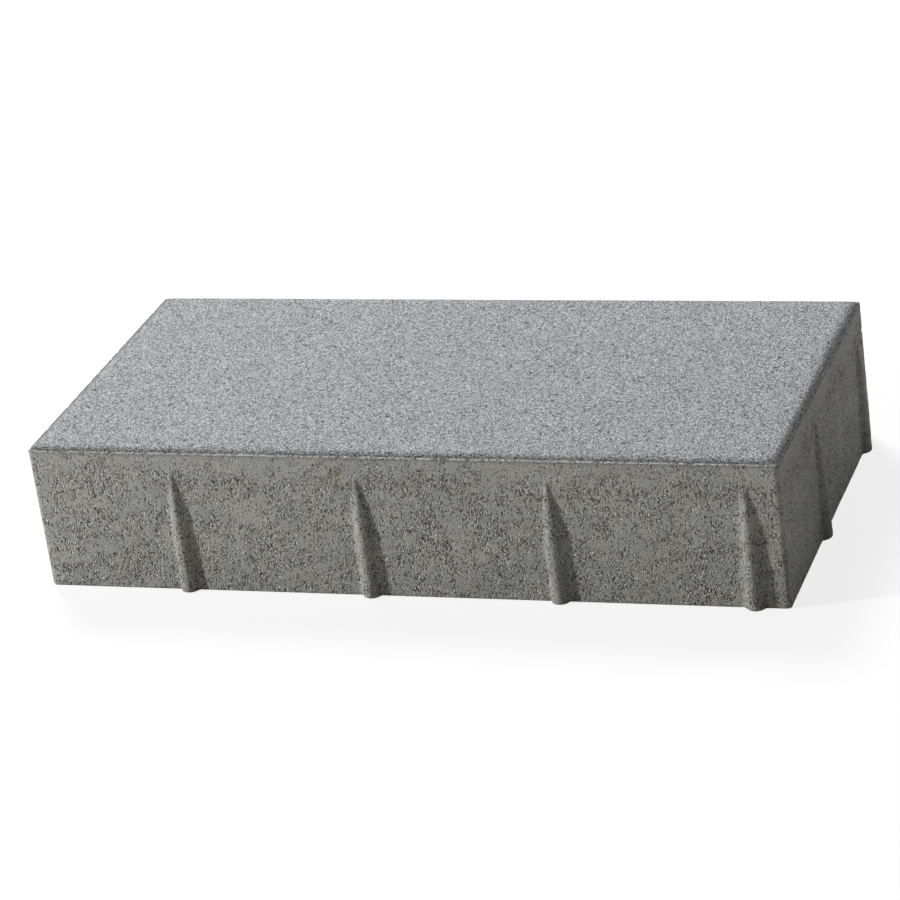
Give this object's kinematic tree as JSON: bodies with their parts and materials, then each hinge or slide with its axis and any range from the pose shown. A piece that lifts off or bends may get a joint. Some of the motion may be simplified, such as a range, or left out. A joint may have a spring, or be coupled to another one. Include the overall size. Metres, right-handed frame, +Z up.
{
  "type": "concrete paving stone",
  "caption": "Rectangular grey concrete paving stone with a chamfered top and tapered half-round spacer ribs down its sides, for laying in paving.",
  "frame": {"origin": "middle of the underside, on the bed that the stone lies on", "axes": "+X along the stone's length, +Y across its width, +Z up from the bed to the top face"},
  "size_m": [0.404, 0.204, 0.08],
  "materials": {
    "concrete": "fine sandy concrete, matte"
  },
  "bodies": {
    "root": {"paving_stone": "concrete"}
  },
  "joints": []
}
